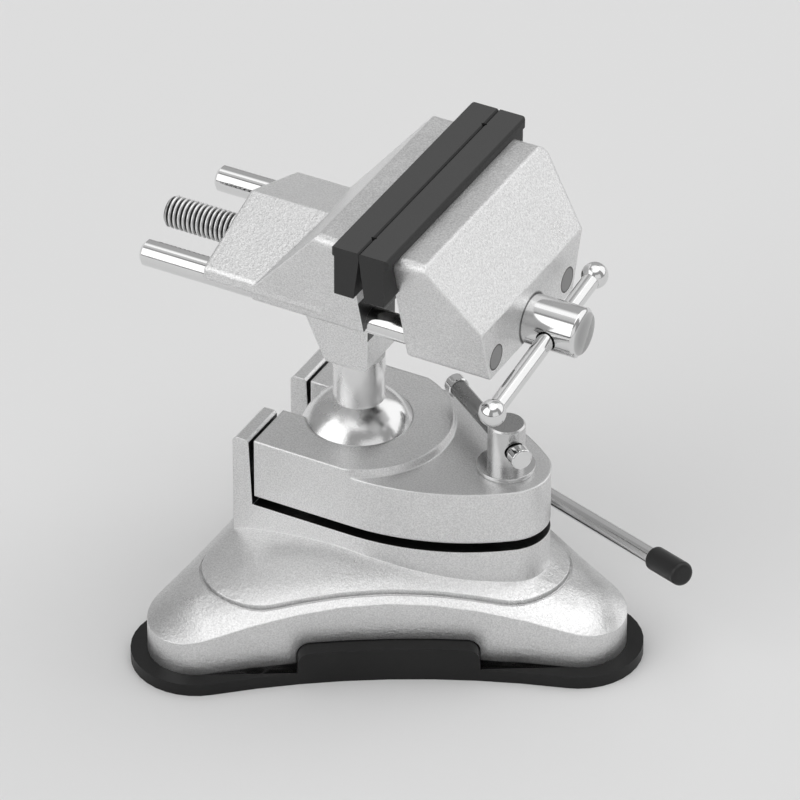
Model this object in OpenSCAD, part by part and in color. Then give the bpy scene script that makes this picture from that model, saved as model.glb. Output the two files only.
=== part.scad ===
// Suction base vise: a ball-joint bench vise on a three-lobed vacuum foot.
// Millimetres. Z = 0 is the bench, the ball's axis stands on the origin,
// and +X runs from the ball towards the clamp screw and the opening jaw.

/* [Foot] */
// Distance from the ball axis forward to the foot's centre
foot_x = 6.7; // [5:0.1:9]
// Distance from the foot's centre to the centre of each lobe
lobe_d = 52.6; // [50:0.2:60]
// Radius of the casting's lobes
lobe_r = 11.8; // [10:0.2:15]
// Distance from the foot's centre to the middle of each hollow side
waist = 33; // [31.5:0.1:35]
// Height of the crowned top over the foot's centre, before it is cut flat
crown_z = 30.5; // [30:0.1:33]
// Fall of the crowned top for each millimetre outwards
crown_slope = 0.25; // [0.22:0.01:0.28]
// Height of the rounded shoulder along the skirt's upper edge
shoulder_h = 3; // [2:0.1:4]
// Width of the rounded shoulder
shoulder_w = 11; // [6:0.2:11.4]
// Thickness of the casting's skirt
skirt_t = 3.2; // [2.5:0.1:4]
// Thickness of the casting's roof over the hollow
roof_t = 3.6; // [3:0.1:4.5]

/* [Raised tier] */
// Distance from the foot's centre to the centre of each tier lobe
tier_d = 33; // [31:0.2:36]
// Radius of the tier's lobes
tier_r = 15.5; // [15:0.2:17]
// Distance from the foot's centre to the middle of each tier side
tier_waist = 30.5; // [29:0.1:31]
// Height of the tier above the crowned top
tier_h = 0.7; // [0.4:0.1:1.2]
// Width and depth of the fine groove round the tier
groove_w = 0.6; // [0.4:0.1:1]

/* [Rubber pad] */
// Distance that the pad stands out past the skirt
lip = 4.1; // [2.5:0.1:5]
// Thickness of the pad
pad_t = 3.2; // [2.5:0.1:4]
// Width of the release tab
tab_w = 43.4; // [30:0.2:46]
// Height of the tab's top above the bench
tab_z = 8.8; // [7:0.1:10]
// Radius of the tab's upper corners
tab_r = 3; // [2:0.1:4]
// Depth of the tab measured inwards from the skirt's face
tab_depth = 2.6; // [2:0.1:3]

/* [Vacuum mechanism] */
// Clearance between the raised disc and the bearing bosses
core_gap = 0.5; // [0.3:0.1:1]
// Clearance between the raised stud and the hollow's ceiling
ceiling_gap = 1.5; // [1:0.1:2]
// Radius of the cam shaft
cam_r = 3; // [2.6:0.1:3.4]
// Throw of the eccentric, half of the pad's lift
throw = 1.45; // [1:0.05:1.45]
// Radius of the bearing bosses round the cam shaft
cam_boss_r = 4.8; // [4.4:0.1:5]
// Radius of the steel disc on the pad
core_r = 16; // [12:0.5:20]
// Thickness of the steel disc
core_t = 2; // [1.5:0.1:2.2]
// Radius of the pull stud
pull_r = 5.5; // [5:0.1:6]
// Distance that the lever's plane stands out from the skirt
lever_out = 10.7; // [9:0.1:14]
// Length of the lever's stub inside the cam shaft
lever_stub = 8; // [6:0.5:12]
// Length of the lever from the shaft's axis
lever_l = 65.6; // [50:0.2:75]
// Upward slope of the lever at rest, in degrees
lever_rise = 11.8; // [5:0.2:15]
// Radius of the lever rod
lever_r = 2.1; // [1.8:0.1:2.3]
// Radius of the lever's bend
bend_r = 5; // [4:0.2:6]
// Length of the black cap on the lever
grip_l = 12; // [10:0.5:20]
// Radius of the black cap
grip_r = 3; // [2.6:0.1:3.5]

/* [Pedestal and clamp plate] */
// Height of the pedestal's top above the bench
pedestal_z = 30.2; // [29.5:0.1:31]
// Gap between the pedestal and the clamp plate
plate_gap = 2.7; // [2:0.1:3.2]
// Thickness of the clamp plate at the boss
plate_t = 16; // [15:0.1:17]
// Height of the round boss above the plate's front part
boss_h = 2; // [1:0.1:3]
// Radius of the round boss
boss_r = 22.4; // [22:0.1:23]
// Distance from the ball axis back to the plate's rear edge
plate_rear = 16.9; // [16.6:0.1:17.2]
// Half of the plate's width
plate_half = 21.5; // [21:0.1:22.2]
// Distance forward to where the plate's sides start to curve in
side_x = 9.3; // [6:0.1:12]
// Radius of the plate's narrow end
nose_r = 10.8; // [10:0.1:12]
// Clearance on each side of the neck in its slot
slot_gap = 0.6; // [0.4:0.1:0.8]
// Width of the gap between the plate and the posts
post_gap = 1.5; // [1:0.1:2]
// Thickness of the posts
post_t = 4.3; // [4:0.1:5]
// Depth of the posts' tops below the top of the boss
post_drop = 0.4; // [0:0.1:2]
// Clearance in the slot between the posts
post_slot_gap = 0.5; // [0.3:0.1:0.8]
// Length of the plate's tongues
tongue_l = 3; // [2.6:0.1:3.2]
// Clearance round the tongues
tongue_gap = 0.5; // [0.4:0.1:0.6]

/* [Ball stud] */
// Height of the ball's centre above the pedestal
ball_rise = 11; // [10.8:0.1:11.4]
// Radius of the ball
ball_r = 15; // [14.8:0.1:15.2]
// Radius of the neck
neck_r = 6.3; // [6:0.1:6.4]
// Distance from the ball's centre up to the block
neck_l = 25.8; // [25:0.1:27]
// Radius of the shank in the jaw block
shank_r = 3.5; // [3:0.1:3.8]
// Length of the shank in the jaw block
shank_l = 11; // [10:0.5:12]
// Radius of the dowel that keeps the shank in
dowel_r = 1.2; // [1:0.1:1.4]

/* [Clamp screw] */
// Distance from the ball axis forward to the clamp screw
clamp_x = 39.5; // [38.5:0.1:41]
// Radius of the clamp screw's thread
clamp_r = 4; // [3.5:0.1:4]
// Radius of the clamp screw's barrel
clamp_head_r = 4.5; // [4.3:0.1:5.5]
// Length of the clamp screw's barrel
clamp_head_l = 11.6; // [10:0.1:14]
// Distance from the barrel's lower end up to the cross hole
clamp_hole_z = 6; // [5.4:0.1:6.4]
// Depth that the clamp screw reaches below the pedestal's top
clamp_depth = 17; // [12:0.5:18]
// Radius of the washer
washer_r = 7.1; // [6:0.1:8]
// Thickness of the washer
washer_t = 1.2; // [0.8:0.1:1.6]
// Radius of the clamp bar
clamp_bar_r = 2.1; // [1.8:0.1:2.2]
// Radius of the clamp bar's thicker ends
clamp_end_r = 2.7; // [2.6:0.1:3]
// Length of the clamp bar's thicker ends
clamp_end_l = 3; // [2:0.1:4]
// Distance from the screw's axis to the near end of the bar
clamp_bar_near = 8.4; // [8.2:0.1:14]
// Distance from the screw's axis to the far end of the bar
clamp_bar_far = 27.6; // [18:0.1:30]
// Direction of the clamp bar, in degrees
clamp_bar_turn = -35.7; // [-60:0.1:0]

/* [Jaws] */
// Length of the jaw pads
grip_w = 70; // [66:0.5:76]
// Thickness of each jaw pad
jaw_pad_t = 6.4; // [6:0.1:8]
// Distance that each pad's lip reaches over its jaw
pad_lip = 0.9; // [0.4:0.1:1.6]
// Distance that the grip faces draw apart towards their lower edges
face_lean = 1.4; // [0.5:0.1:1.8]
// Width of the small upright grooves near the pads' ends
notch = 1.5; // [1:0.1:2.4]
// Distance of those grooves from the pads' ends
notch_in = 7.5; // [5:0.5:12]
// Height of each jaw pad
jaw_pad_h = 12.8; // [11:0.1:14]
// Distance from the ball axis forward to the pad seat of the fixed jaw
seat_x = 12.2; // [11.6:0.1:12.8]
// Height of the jaws' upper edge above the lead screw's axis
jaw_rise = 27.5; // [26.5:0.1:30]
// Distance that the pads stand above the jaws
pad_rise = 2.5; // [1.5:0.1:3.5]
// Gap between the closed pads
closed_gap = 0.1; // [0.05:0.05:0.3]
// Width of the flat on top of each jaw
jaw_flat = 7.5; // [7:0.1:8.5]
// Angle of the fixed jaw's outer slope from upright, in degrees
fixed_angle = 40; // [38:0.5:42]
// Angle of the movable jaw's outer slope from upright, in degrees
movable_angle = 37; // [35:0.5:39]
// Distance that the jaw stands out below the pad
ledge = 0.9; // [0.6:0.1:1.6]
// Distance that the pads reach past the jaws' ends
pad_over = 4.2; // [3:0.1:5]
// Thickness of the jaws' ends beside the guide rods
rod_wall = 1.1; // [0.8:0.1:2]
// Depth of the fixed jaw's lower edge below the lead screw's axis
fixed_drop = 2.3; // [1.5:0.1:4.5]
// Depth of the movable jaw's lower edge below the lead screw's axis
movable_drop = 5.5; // [4.5:0.1:7]
// Thickness of the movable jaw from the pad seat to the front face
movable_t = 20.6; // [18:0.1:22]
// Radius of the jaws' rounded ends
jaw_round = 2.2; // [1.5:0.1:3]

/* [Neck block and hood] */
// Distance from the block's underside up to the lead screw's axis
block_h = 24.5; // [24:0.1:26]
// Half length of the block at its underside, along X
block_half_x = 5.8; // [5.6:0.1:6.4]
// Lean of the block's rear face, in degrees
block_lean = 24; // [20:0.5:28]
// Distance from the ball axis back to the hood's rear face
hood_rear = 28.7; // [27:0.1:31]
// Height of the hood's ridge above the lead screw's axis
ridge_rise = 12.7; // [11.5:0.1:13.5]
// Height of the hood's eaves above the lead screw's axis
eave_rise = 4.5; // [4:0.1:5.5]
// Thickness of the hood's sides beside the guide rods
hood_side = 2.1; // [1.8:0.1:3]
// Wall thickness of the hood
hood_t = 3; // [2.6:0.1:3.4]
// Height of the hood's lower edge above the rods' axes
hood_skirt = 1.5; // [0.8:0.1:2]
// Radius of the hood's rounded eaves
eave_r = 2; // [1:0.1:2.6]

/* [Rods and lead screw] */
// Distance of each guide rod from the screw's axis
rod_y = 18.2; // [17:0.1:18.4]
// Radius of the guide rods
rod_r = 3.25; // [3:0.05:3.5]
// Distance from the ball axis back to the rods' rear ends
rod_rear = 47.8; // [44:0.1:52]
// Radius of the lead screw
screw_r = 4; // [3.5:0.1:4.2]
// Distance from the ball axis back to the lead screw's rear end
screw_rear = 51.1; // [46:0.1:56]
// Radius of the lead screw's barrel
barrel_r = 6.1; // [5.6:0.1:7]
// Length of the lead screw's barrel
barrel_l = 13.8; // [13:0.1:18]
// Distance from the barrel's inner end to the cross hole
bar_x = 6.6; // [6.2:0.1:7]
// Radius of the tommy bar
bar_r = 2.15; // [1.8:0.05:2.3]
// Radius of the tommy bar's ball ends
bar_ball_r = 3.25; // [3:0.05:4]
// Distance from the screw's axis to the bar's far ball
bar_far = 19.6; // [12:0.1:24]
// Distance from the screw's axis to the bar's near ball
bar_near = 33.1; // [26:0.1:38]
// Tilt of the tommy bar from level, in degrees
bar_tilt = 7.8; // [0:0.1:15]

/* [Fits] */
// Radial clearance of shafts that turn or slide
running = 0.06; // [0.02:0.01:0.1]
// Gap left round pieces that are pressed or glued in
press = 0.02; // [0.01:0.01:0.05]
// Radial clearance of the loose bars in their cross holes
loose = 0.35; // [0.2:0.05:0.5]
// Clearance between soft and rigid pieces
soft_gap = 0.2; // [0.1:0.05:0.3]

/* [Hidden] */
$fn = 96;
far = 200;

cast = [0.78, 0.78, 0.79];
bright = [0.86, 0.87, 0.88];
steel = [0.6, 0.61, 0.63];
black = [0.13, 0.13, 0.13];
soft_dark = [0.24, 0.24, 0.25];

// Segments of each lobe's arc and of each hollow side
lobe_n = 14;
side_n = 8;

plate_low_z = pedestal_z + plate_gap;
boss_z = plate_low_z + plate_t;
front_z = boss_z - boss_h;
post_z = boss_z - post_drop;
ball_z = pedestal_z + ball_rise;
block_z = ball_z + neck_l;
screw_z = block_z + block_h;
jaw_z = screw_z + jaw_rise;
slot_w = 2*(neck_r + slot_gap);
block_half_y = slot_w/2;
post_front = -plate_rear - post_gap;
post_back = post_front - post_t;
post_in = slot_w/2 + post_slot_gap;
side_len = clamp_x - side_x;
side_r = (pow(plate_half, 2) + pow(side_len, 2) - pow(nose_r, 2))/(2*(plate_half - nose_r));

washer_z = front_z;
clamp_head_z = washer_z + washer_t;
clamp_bar_z = clamp_head_z + clamp_hole_z;

pull_low_z = pad_t + core_t;
cam_z = pull_low_z + 2*throw + core_gap + cam_boss_r;
lever_plane = waist + lever_out;
slot_half_z = cam_r - throw + 0.5;
slot_half_s = cam_r + 0.3;
pull_top_z = cam_z - throw + slot_half_z + 1.6;
ceiling_z = pull_top_z + 2*throw + ceiling_gap;
inner_z = ceiling_z - 8;
pin_half = pull_r + 0.5;
boss_in = pull_r + 2;
boss_end = boss_in + 8;
clip_t = 0.8;

contact_x = seat_x + jaw_pad_t;
movable_seat = contact_x + closed_gap + jaw_pad_t;
movable_front = movable_seat + movable_t;
pad_top_z = jaw_z + pad_rise;
pad_low_z = pad_top_z - jaw_pad_h;
clip_x = movable_seat - ledge;
rod_front = movable_front;
jaw_half = grip_w/2 - pad_over;
jaw_waist = rod_y + rod_r + rod_wall;
jaw_low_z = screw_z - fixed_drop;
movable_low_z = screw_z - movable_drop;
hood_half = rod_y + rod_r + hood_side;
hood_low_z = screw_z + hood_skirt;
ridge_z = screw_z + ridge_rise;
eave_z = screw_z + eave_rise;
dowel_in = block_half_y - 2.4;
barrel_x = movable_front;
cross_x = barrel_x + bar_x;

function arc(c, r, a0, a1, n = 5) = [for (i = [0:n]) c + r*[cos(a0 + (a1 - a0)*i/n), sin(a0 + (a1 - a0)*i/n)]];
function turn(p, a) = [p[0]*cos(a) - p[1]*sin(a), p[0]*sin(a) + p[1]*cos(a)];

// Radius of the hollow sides that run tangent into the lobes
function hollow_r(d, r, w) = let (a = w - d/2, h = d*sin(60)) (a*a + h*h - r*r)/(2*(r - a));

// Outline of three lobes joined by hollow sides, drawn in by a distance
function lobed_ring(d, r, w, inset = 0) =
    let (
        hr = hollow_r(d, r, w),
        m = w + hr,
        psi = atan2(m*sin(60), m*cos(60) - d),
        lobe = [for (i = [0:lobe_n - 1]) let (t = -psi + 2*psi*i/lobe_n)
            [d + (r - inset)*cos(t), (r - inset)*sin(t)]],
        side = [for (i = [0:side_n - 1]) let (t = psi + 180 - (2*psi - 120)*i/side_n)
            [m*cos(60) + (hr + inset)*cos(t), m*sin(60) + (hr + inset)*sin(t)]]
    )
    [for (k = [0:2]) each [for (p = concat(lobe, side)) turn(p, 120*k)]];

function crown(r) = crown_z - crown_slope*r;

module lobed(d, r, w, inset = 0) {
    translate([foot_x, 0])
        polygon(lobed_ring(d, r, w, inset));
}

// Draws in X and Z and pulls the outline along Y
module along_y(w) {
    rotate([90, 0, 0])
        linear_extrude(w, center = true)
            children();
}

// Draws in Y and Z and pulls the outline along X
module along_x(x0, x1) {
    translate([x0, 0, 0])
        rotate([90, 0, 90])
            linear_extrude(x1 - x0)
                children();
}

// A round bar along X
module bar_x_dir(x0, x1, r) {
    translate([x0, 0, 0])
        rotate([0, 90, 0])
            cylinder(h = x1 - x0, r = r);
}

// The cam shaft's own frame: X runs out of the foot's side, Z stays up
module at_cam() {
    translate([foot_x, 0, cam_z])
        rotate([0, 0, 60])
            children();
}

// ---- foot ----

// Skirt and crowned top as one closed skin, which a lift moves up
module foot_skin(lift = 0) {
    steps = [0, 0.08, 0.22, 0.4, 0.62, 1]*shoulder_w;
    core = 15;
    count = 3*(lobe_n + side_n);
    low = [for (p = lobed_ring(lobe_d, lobe_r, waist)) [p[0], p[1], pad_t]];
    shoulder = [for (s = steps) each [for (p = lobed_ring(lobe_d, lobe_r, waist, s))
        [p[0], p[1], crown(norm(p)) - shoulder_h*pow(1 - s/shoulder_w, 2)]]];
    inner = [for (p = lobed_ring(lobe_d, lobe_r, waist)) [p[0]*core/norm(p), p[1]*core/norm(p), crown(core)]];
    rows = len(steps) + 2;
    bands = [for (k = [0:rows - 2]) each [for (i = [0:count - 1])
        let (a = k*count + i, b = k*count + (i + 1)%count)
        each [[a, a + count, b], [b, a + count, b + count]]]];
    floor_face = [for (i = [0:count - 1]) i];
    cap_face = [for (i = [count - 1:-1:0]) (rows - 1)*count + i];
    translate([foot_x, 0, lift])
        polyhedron(concat(low, shoulder, inner), concat(bands, [floor_face, cap_face]), convexity = 4);
}

module crown_cone(lift, top, base_z) {
    reach = 80;
    translate([foot_x, 0, 0])
        rotate_extrude()
            polygon([[0, base_z], [reach, base_z], [reach, crown(reach) + lift],
                [(crown_z + lift - top)/crown_slope, top], [0, top]]);
}

module tier() {
    intersection() {
        translate([0, 0, inner_z])
            linear_extrude(pedestal_z - inner_z)
                lobed(tier_d, tier_r, tier_waist);
        foot_skin(tier_h);
    }
}

module tier_groove() {
    difference() {
        translate([0, 0, inner_z])
            linear_extrude(pedestal_z)
                difference() {
                    lobed(tier_d, tier_r, tier_waist, -groove_w);
                    lobed(tier_d, tier_r, tier_waist);
                }
        foot_skin(-groove_w);
    }
}

// Teardrop outline: straight rear, long curved sides and a round narrow end
module plate_outline(rear = plate_rear) {
    fall = asin(side_len/(side_r - nose_r));
    right = concat(arc([side_x, side_r - plate_half], side_r, -90, fall - 90, 10),
        arc([clamp_x, 0], nose_r, fall - 90, 0, 12));
    left = [for (i = [len(right) - 2:-1:0]) [right[i][0], -right[i][1]]];
    polygon(concat([[-rear, -plate_half]], right, left, [[-rear, plate_half]]));
}

module pedestal() {
    translate([0, 0, inner_z])
        linear_extrude(pedestal_z - inner_z)
            plate_outline(-post_back);
}

module posts() {
    for (side = [-1, 1])
        translate([0, side*(post_in + plate_half)/2, 0])
            along_y(plate_half - post_in)
                polygon([[post_back, inner_z], [-plate_rear, inner_z], [-plate_rear - post_gap*0.4, pedestal_z],
                    [post_front, post_z - 0.6], [post_front - 0.6, post_z], [post_back + 1, post_z],
                    [post_back, post_z - 1]]);
}

module bearing_bosses() {
    at_cam() {
        bar_x_dir(boss_in, waist - skirt_t/2, cam_boss_r);
        bar_x_dir(-boss_end, -boss_in, cam_boss_r);
        for (x = [[boss_in, waist - skirt_t/2], [-boss_end, -boss_in]])
            translate([x[0], -cam_boss_r + 0.8, 0])
                cube([x[1] - x[0], 2*cam_boss_r - 1.6, ceiling_z - cam_z + 4]);
    }
    translate([clamp_x, 0, pedestal_z - clamp_depth])
        cylinder(h = clamp_depth, r = clamp_r + 3.2);
}

module hollow() {
    difference() {
        intersection() {
            translate([0, 0, -1])
                linear_extrude(ceiling_z + 1)
                    lobed(lobe_d, lobe_r, waist, skirt_t);
            crown_cone(-roof_t, ceiling_z, -5);
        }
        bearing_bosses();
    }
}

// Outline of the release tab, in its own X and Z
module tab_outline(gap) {
    half = tab_w/2 + gap;
    top = tab_z + gap;
    r = tab_r + gap;
    translate([-half, 0])
        square([2*half, top - r]);
    translate([r - half, 0])
        square([2*(half - r), top]);
    for (side = [-1, 1])
        translate([side*(half - r), top - r])
            circle(r);
}

// Places the tab on the side that faces -60 degrees
module tab_block(gap, z0) {
    translate([foot_x, 0, 0])
        rotate([0, 0, -60])
            intersection() {
                translate([waist - tab_depth - gap, 0, 0])
                    rotate([90, 0, 90])
                        linear_extrude(20)
                            tab_outline(gap);
                translate([0, -far/2, z0])
                    cube([far, far, far]);
            }
}

module tongues(gap) {
    for (side = [-1, 1])
        translate([-plate_rear - tongue_l - gap, side*(post_in + plate_half)/2 - 3.5 - gap, plate_low_z + 3 - gap])
            cube([tongue_l + gap + 1, 7 + 2*gap, 4 + 2*gap]);
}

module base_casting() {
    color(cast)
        difference() {
            union() {
                foot_skin();
                tier();
                pedestal();
                posts();
            }
            hollow();
            tier_groove();
            tab_block(soft_gap, 0);
            translate([0, 0, ball_z])
                sphere(ball_r + running);
            translate([clamp_x, 0, 0])
                cylinder(h = pedestal_z + 1, r = clamp_r + running);
            at_cam()
                bar_x_dir(-boss_end - 1, waist + 2, cam_r + running);
            tongues(tongue_gap);
        }
}

module suction_pad() {
    color(black) {
        linear_extrude(pad_t)
            lobed(lobe_d, lobe_r, waist, -lip);
        intersection() {
            tab_block(0, pad_t - 1);
            linear_extrude(tab_z + 1)
                lobed(lobe_d, lobe_r, waist, -lip);
        }
    }
}

// ---- vacuum mechanism ----

module pad_core_plate() {
    color(steel)
        translate([foot_x, 0, pad_t])
            cylinder(h = core_t, r = core_r);
}

module pull_stud() {
    color(steel)
        difference() {
            translate([foot_x, 0, pull_low_z])
                cylinder(h = pull_top_z - pull_low_z, r = pull_r);
            at_cam()
                translate([-pull_r - 1, -slot_half_s, -throw - slot_half_z])
                    cube([2*pull_r + 2, 2*slot_half_s, 2*slot_half_z]);
        }
}

module cam_shaft() {
    color(steel)
        at_cam()
            difference() {
                union() {
                    bar_x_dir(-boss_end - 2.4, -pin_half, cam_r);
                    bar_x_dir(pin_half, waist + 1.4, cam_r);
                    translate([0, 0, -throw])
                        bar_x_dir(-pin_half - 1, pin_half + 1, cam_r - throw - 0.05);
                }
                bar_x_dir(waist - lever_stub - 1, waist + 3, lever_r + press);
                translate([-boss_end - 0.4 - clip_t, 0, 0])
                    rotate([0, 90, 0])
                        difference() {
                            cylinder(h = clip_t + 0.1, r = cam_r + 1);
                            cylinder(h = clip_t + 0.1, r = cam_r - 0.6);
                        }
            }
}

module cam_shaft_clip() {
    color(steel)
        at_cam()
            translate([-boss_end - 0.35 - clip_t, 0, 0])
                rotate([0, 90, 0])
                    difference() {
                        cylinder(h = clip_t, r = cam_r + 1.8);
                        translate([0, 0, -1])
                            cylinder(h = clip_t + 2, r = cam_r - 0.58);
                        translate([-1.6, 0, -1])
                            cube([3.2, cam_r + 3, clip_t + 2]);
                    }
}

// The lever's frame: X along the straight rod, from the shaft's axis
module at_lever() {
    at_cam()
        translate([lever_plane, 0, 0])
            rotate([0, 0, -90])
                rotate([0, -lever_rise, 0])
                    children();
}

module suction_lever() {
    join = 0.3;
    color(bright) {
        at_cam()
            bar_x_dir(waist - lever_stub, lever_plane - bend_r + join, lever_r);
        at_cam()
            rotate([-lever_rise, 0, 0])
                translate([lever_plane - bend_r, -bend_r, 0])
                    rotate_extrude(angle = 90)
                        translate([bend_r, 0])
                            circle(lever_r - 0.06);
        at_lever()
            bar_x_dir(bend_r - join, lever_l - 1.5, lever_r);
    }
}

module lever_grip() {
    color(black)
        at_lever()
            rotate([0, 90, 0])
                rotate_extrude()
                    polygon(concat([[0, lever_l], [0, lever_l - 1.5], [lever_r, lever_l - 1.5],
                        [lever_r, lever_l - grip_l], [grip_r, lever_l - grip_l]],
                        arc([grip_r - 1.2, lever_l - 1.2], 1.2, 0, 90)));
}

// ---- clamp ----

module clamp_plate() {
    color(cast)
        difference() {
            union() {
                translate([0, 0, plate_low_z])
                    linear_extrude(front_z - plate_low_z)
                        plate_outline();
                intersection() {
                    translate([0, 0, front_z - 1])
                        linear_extrude(boss_h + 1)
                            plate_outline();
                    union() {
                        translate([0, 0, front_z - 2])
                            cylinder(h = boss_h + 3, r1 = boss_r + 1.5, r2 = boss_r);
                        translate([-far, -far/2, front_z - 2])
                            cube([far, far, boss_h + 4]);
                    }
                }
                tongues(0);
            }
            translate([0, 0, ball_z])
                sphere(ball_r + running);
            translate([0, 0, plate_low_z - 1])
                cylinder(h = ball_z - plate_low_z + 1, r = ball_r + 0.2);
            translate([-far, -slot_w/2, plate_low_z - 1])
                cube([far, slot_w, plate_t + 2]);
            translate([clamp_x, 0, plate_low_z - 1])
                cylinder(h = plate_t + 2, r = clamp_r + 0.6);
        }
}

module clamp_washer() {
    color(bright)
        translate([clamp_x, 0, washer_z])
            difference() {
                cylinder(h = washer_t, r = washer_r);
                translate([0, 0, -1])
                    cylinder(h = washer_t + 2, r = clamp_r + 0.1);
            }
}

// The clamp bar's frame: X along the bar
module at_clamp_bar() {
    translate([clamp_x, 0, clamp_bar_z])
        rotate([0, 0, clamp_bar_turn])
            children();
}

module clamp_screw() {
    color(bright)
        difference() {
            translate([clamp_x, 0, 0])
                rotate_extrude()
                    polygon([[0, pedestal_z - clamp_depth], [clamp_r - 0.8, pedestal_z - clamp_depth],
                        [clamp_r, pedestal_z - clamp_depth + 0.8], [clamp_r, clamp_head_z],
                        [clamp_head_r, clamp_head_z], [clamp_head_r, clamp_head_z + clamp_head_l - 0.4],
                        [clamp_head_r - 0.4, clamp_head_z + clamp_head_l], [0, clamp_head_z + clamp_head_l]]);
            at_clamp_bar()
                bar_x_dir(-clamp_head_r - 1, clamp_head_r + 1, clamp_bar_r + loose);
        }
}

module clamp_bar() {
    color(bright)
        at_clamp_bar()
            bar_x_dir(-clamp_bar_far + 1, clamp_bar_near - 1, clamp_bar_r);
}

// One thick end, from its inner face outwards
module bar_end(r, l, core) {
    rotate([0, 90, 0])
        difference() {
            rotate_extrude()
                polygon(concat([[0, 0], [r - 0.3, 0], [r, 0.3]], arc([r - 0.5, l - 0.5], 0.5, 0, 90), [[0, l]]));
            translate([0, 0, -1])
                cylinder(h = l, r = core);
        }
}

module clamp_bar_ends() {
    color(bright)
        at_clamp_bar() {
            translate([clamp_bar_near - clamp_end_l, 0, 0])
                bar_end(clamp_end_r, clamp_end_l, clamp_bar_r + press);
            rotate([0, 0, 180])
                translate([clamp_bar_far - clamp_end_l, 0, 0])
                    bar_end(clamp_end_r, clamp_end_l, clamp_bar_r + press);
        }
}

// ---- head ----

module ball_stud() {
    groove_z = block_z + shank_l/2;
    color(bright) {
        difference() {
            translate([0, 0, ball_z])
                sphere(ball_r);
            translate([0, 0, ball_z + ball_r - 2])
                cylinder(h = 4, r = neck_r - 1);
        }
        translate([0, 0, ball_z + 8])
            cylinder(h = block_z - ball_z - 8, r = neck_r);
        difference() {
            translate([0, 0, block_z - 1])
                cylinder(h = shank_l + 1, r = shank_r);
            translate([0, 0, groove_z])
                rotate_extrude()
                    translate([shank_r, 0])
                        circle(dowel_r + 0.08);
        }
    }
}

module stud_dowel() {
    color(steel)
        translate([shank_r, -dowel_in, block_z + shank_l/2])
            rotate([-90, 0, 0])
                cylinder(h = block_half_y + dowel_in, r = dowel_r);
}

// Ends of a jaw, seen along X: leaning sides with rounded corners
module jaw_ends(low) {
    top = jaw_half;
    lean = atan((jaw_half - jaw_waist)/(jaw_z - screw_z));
    bottom = jaw_half - (jaw_z - low)*tan(lean);
    r = jaw_round;
    top_c = [top - r*(1 + sin(lean))/cos(lean), jaw_z - r];
    low_c = [bottom - r*(1 - sin(lean))/cos(lean), low + r];
    right = concat(arc(low_c, r, -90, -lean), arc(top_c, r, -lean, 90));
    left = [for (i = [len(right) - 1:-1:0]) [-right[i][0], right[i][1]]];
    polygon(concat(right, left));
}

// Jaw seen along Y. u runs from the pad seat away from the grip
module jaw_side(foot_u, angle, low) {
    r = 1.2;
    foot_z = jaw_z - (foot_u - jaw_flat)/tan(angle);
    polygon(concat(
        [[0, pad_low_z], [0, jaw_z - 0.6], [0.6, jaw_z]],
        arc([jaw_flat - r*(1 - sin(angle))/cos(angle), jaw_z - r], r, 90, angle),
        [[foot_u, foot_z], [foot_u, low + r]],
        arc([foot_u - r, low + r], r, 0, -90),
        [[-ledge + r, low], [-ledge, low + r], [-ledge, pad_low_z]]));
}

module rod_bores(r) {
    for (side = [-1, 1])
        translate([0, side*rod_y, screw_z])
            bar_x_dir(-far/2, far/2, r);
}

module block() {
    rear_top = screw_z + 4;
    lean_x = (rear_top - block_z)*tan(block_lean);
    along_y(2*block_half_y)
        polygon([[block_half_x, block_z + 0.8], [block_half_x + 0.4, jaw_low_z + 4],
            [-block_half_x - lean_x, rear_top], [-block_half_x, block_z + 0.8],
            [-block_half_x + 0.8, block_z], [block_half_x - 0.8, block_z]]);
}

// Half of the hood's outer section, from the lower edge up to the ridge
function hood_edge(half, ridge, low, r) =
    let (run = (ridge_z - eave_z)/hood_half,
        c = [half - r, ridge - run*(half - r) - r*sqrt(1 + run*run)])
    concat([[half, low]], arc(c, r, 0, 90 - atan(run)), [[0, ridge]]);

module hood_section(half, ridge, low, r) {
    right = hood_edge(half, ridge, low, r);
    polygon(concat(right, [for (i = [len(right) - 2:-1:0]) [-right[i][0], right[i][1]]]));
}

// Roof-shaped hood over the rods, open underneath
module hood() {
    front = seat_x - jaw_flat - 2;
    difference() {
        along_x(-hood_rear, front)
            hood_section(hood_half, ridge_z, hood_low_z, eave_r);
        along_x(-hood_rear - 1, front + 1)
            hood_section(hood_half - hood_t, ridge_z - hood_t, screw_z - 20, eave_r);
    }
}

// Long threaded boss for the lead screw, under the hood's ridge
module nut_boss() {
    along_x(-hood_rear + 4, seat_x - jaw_flat)
        polygon([[-8, screw_z - 3], [-5, screw_z - 7], [5, screw_z - 7], [8, screw_z - 3],
            [8, ridge_z - 5], [-8, ridge_z - 5]]);
}

module fixed_jaw() {
    reach = jaw_flat + (jaw_z - screw_z)*tan(fixed_angle);
    color(cast)
        difference() {
            union() {
                intersection() {
                    translate([seat_x, 0, 0])
                        mirror([1, 0, 0])
                            along_y(far)
                                jaw_side(reach - 1.8, fixed_angle, jaw_low_z);
                    along_x(-far, far)
                        jaw_ends(jaw_low_z);
                }
                hood();
                nut_boss();
                block();
            }
            rod_bores(rod_r + running);
            translate([0, 0, screw_z])
                bar_x_dir(-far/2, far/2, screw_r + running);
            translate([0, 0, block_z - 1])
                cylinder(h = shank_l + 1.3, r = shank_r + running);
            translate([shank_r, -dowel_in, block_z + shank_l/2])
                rotate([-90, 0, 0])
                    cylinder(h = far, r = dowel_r);
        }
}

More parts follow.
